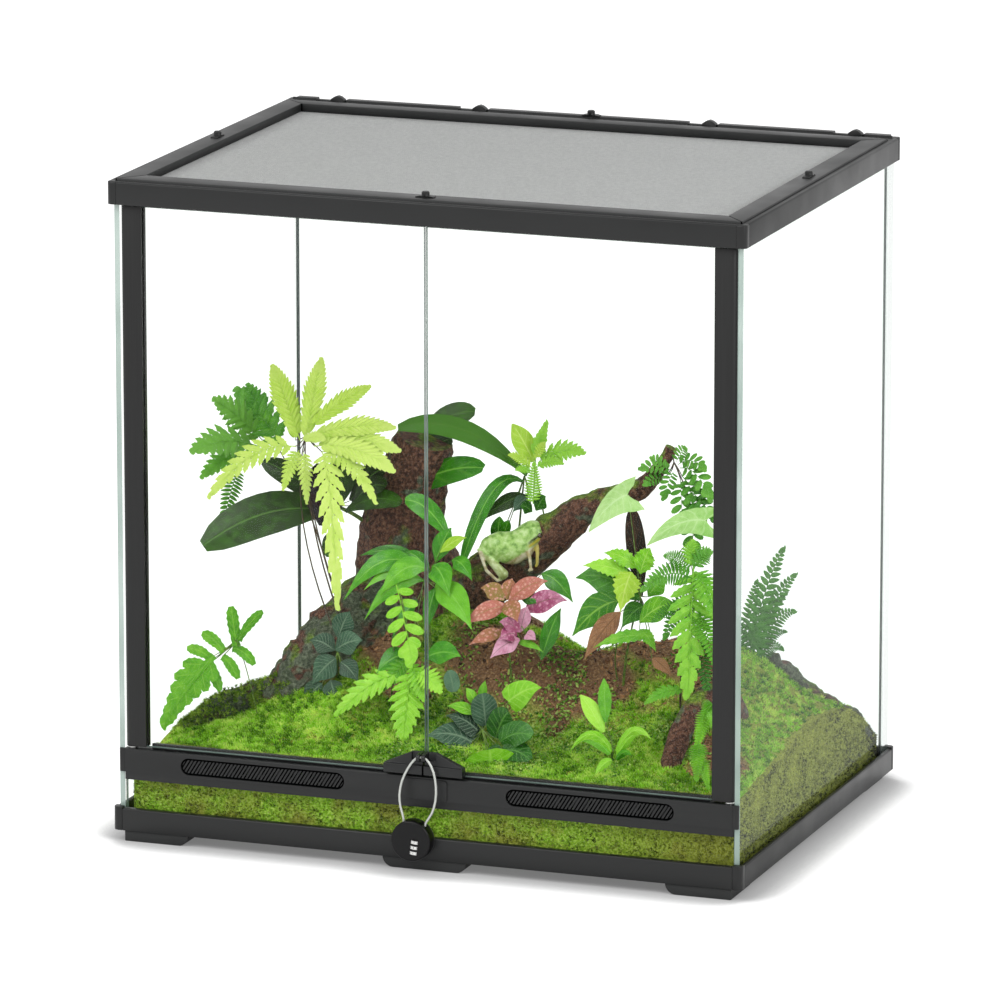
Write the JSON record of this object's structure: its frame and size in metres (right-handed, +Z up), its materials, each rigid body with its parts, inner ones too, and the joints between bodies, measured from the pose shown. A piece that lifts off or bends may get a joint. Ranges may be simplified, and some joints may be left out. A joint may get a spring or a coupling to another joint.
{
  "type": "reptile terrarium",
  "caption": "Front-opening glass reptile terrarium with two hinged doors, cable lock, vents, lift-off mesh cover and a planted moss landscape.",
  "frame": {"origin": "on the surface that the feet stand on, under the middle of the part's box", "axes": "+Z up, +X to the right as seen from the front, doors and lock on the -Y side"},
  "size_m": [0.6, 0.4636, 0.6151],
  "materials": {
    "frame": "satin",
    "frame_light": "satin",
    "glass": "clear",
    "silicone": "clear",
    "aluminium_black": "satin",
    "mesh": "woven",
    "steel": "bright",
    "lock_black": "semi_gloss",
    "dial_white": "satin",
    "moss": "matte",
    "wood": "matte",
    "frog_skin": "satin",
    "leaf_lime": "satin",
    "leaf_green": "satin",
    "leaf_dark": "satin",
    "leaf_red": "satin"
  },
  "bodies": {
    "tank": {"base_frame": "frame", "base_corners": "frame", "feet": "frame_light", "floor_glass": "glass", "left_glass": "glass", "right_glass": "glass", "back_glass": "glass", "front_lower_glass": "glass", "silicone_beads": "silicone", "front_rail": "frame", "rail_end_caps": "frame", "vent_grilles": "frame", "rail_plate": "frame", "top_frame": "frame", "top_corners": "frame", "hinge_pins": "steel", "rear_peg": "frame", "moss_mound": "moss", "stump": "wood", "mossy_log": "wood", "arch_root": "wood", "frog": "frog_skin", "lime_fern": "leaf_lime", "green_fern": "leaf_green", "dark_leaf_plant": "leaf_dark", "strap_leaf_plant": "leaf_green", "top_fern": "leaf_green", "orchid_leaf_plant": "leaf_green", "red_leaf_plant": "leaf_red", "maidenhair_fern": "leaf_lime", "lobed_leaf_plant": "leaf_lime", "vein_leaf_plant": "leaf_dark", "arrow_leaf_plant": "leaf_green", "post_fern": "leaf_green", "log_tip_fern": "leaf_green", "round_leaf_plant": "leaf_dark", "grass_plant": "leaf_lime", "side_fern": "leaf_green"},
    "left_door": {"left_door_glass": "glass", "left_hinge_profile": "aluminium_black", "left_handle": "frame"},
    "right_door": {"right_door_glass": "glass", "right_hinge_profile": "aluminium_black", "right_handle": "frame"},
    "cover": {"cover_frame": "frame", "cover_corner_keys": "frame", "cover_mesh": "mesh", "cover_pegs": "frame"},
    "shutter_1": {"port_shutter_1": "frame"},
    "shutter_2": {"port_shutter_2": "frame"},
    "shutter_3": {"port_shutter_3": "frame"},
    "shutter_4": {"port_shutter_4": "frame"},
    "lock": {"lock_case": "lock_black", "lock_back": "lock_black", "lock_spindle": "steel", "lock_cable": "steel"},
    "dial_1": {"lock_dial_1": "dial_white"},
    "dial_2": {"lock_dial_2": "dial_white"},
    "dial_3": {"lock_dial_3": "dial_white"}
  },
  "joints": [
    {"name": "left_door_hinge", "type": "hinge", "parent": "tank", "child": "left_door", "pos_m": [-0.2845, -0.2065, 0.3365], "axis": [0, 0, -1], "range_deg": [0, 90], "deforming": ["lock_cable"]},
    {"name": "right_door_hinge", "type": "hinge", "parent": "tank", "child": "right_door", "pos_m": [0.2845, -0.2065, 0.3365], "axis": [0, 0, 1], "range_deg": [0, 90], "deforming": ["lock_cable"]},
    {"name": "cover_lift", "type": "slide", "parent": "tank", "child": "cover", "axis": [0, 0, 1], "range_m": [0, 0.15]},
    {"name": "shutter_1_slide", "type": "slide", "parent": "tank", "child": "shutter_1", "axis": [-1, 0, 0], "range_m": [0, 0.0135]},
    {"name": "shutter_2_slide", "type": "slide", "parent": "tank", "child": "shutter_2", "axis": [-1, 0, 0], "range_m": [0, 0.0135]},
    {"name": "shutter_3_slide", "type": "slide", "parent": "tank", "child": "shutter_3", "axis": [-1, 0, 0], "range_m": [0, 0.0135]},
    {"name": "shutter_4_slide", "type": "slide", "parent": "tank", "child": "shutter_4", "axis": [-1, 0, 0], "range_m": [0, 0.0135]},
    {"name": "lock_swing", "type": "hinge", "parent": "right_door", "child": "lock", "pos_m": [0, -0.2222, 0.105], "axis": [-1, 0, 0], "range_deg": [0, 60], "deforming": ["lock_cable"]},
    {"name": "dial_1_turn", "type": "hinge", "parent": "lock", "child": "dial_1", "pos_m": [-0.00363, -0.2268, 0.02905], "axis": [0.1132, 0, 0.9936], "continuous": true},
    {"name": "dial_2_turn", "type": "hinge", "parent": "lock", "child": "dial_2", "pos_m": [-0.00419, -0.2268, 0.02408], "axis": [0.1132, 0, 0.9936], "continuous": true},
    {"name": "dial_3_turn", "type": "hinge", "parent": "lock", "child": "dial_3", "pos_m": [-0.00476, -0.2268, 0.01911], "axis": [0.1132, 0, 0.9936], "continuous": true}
  ]
}
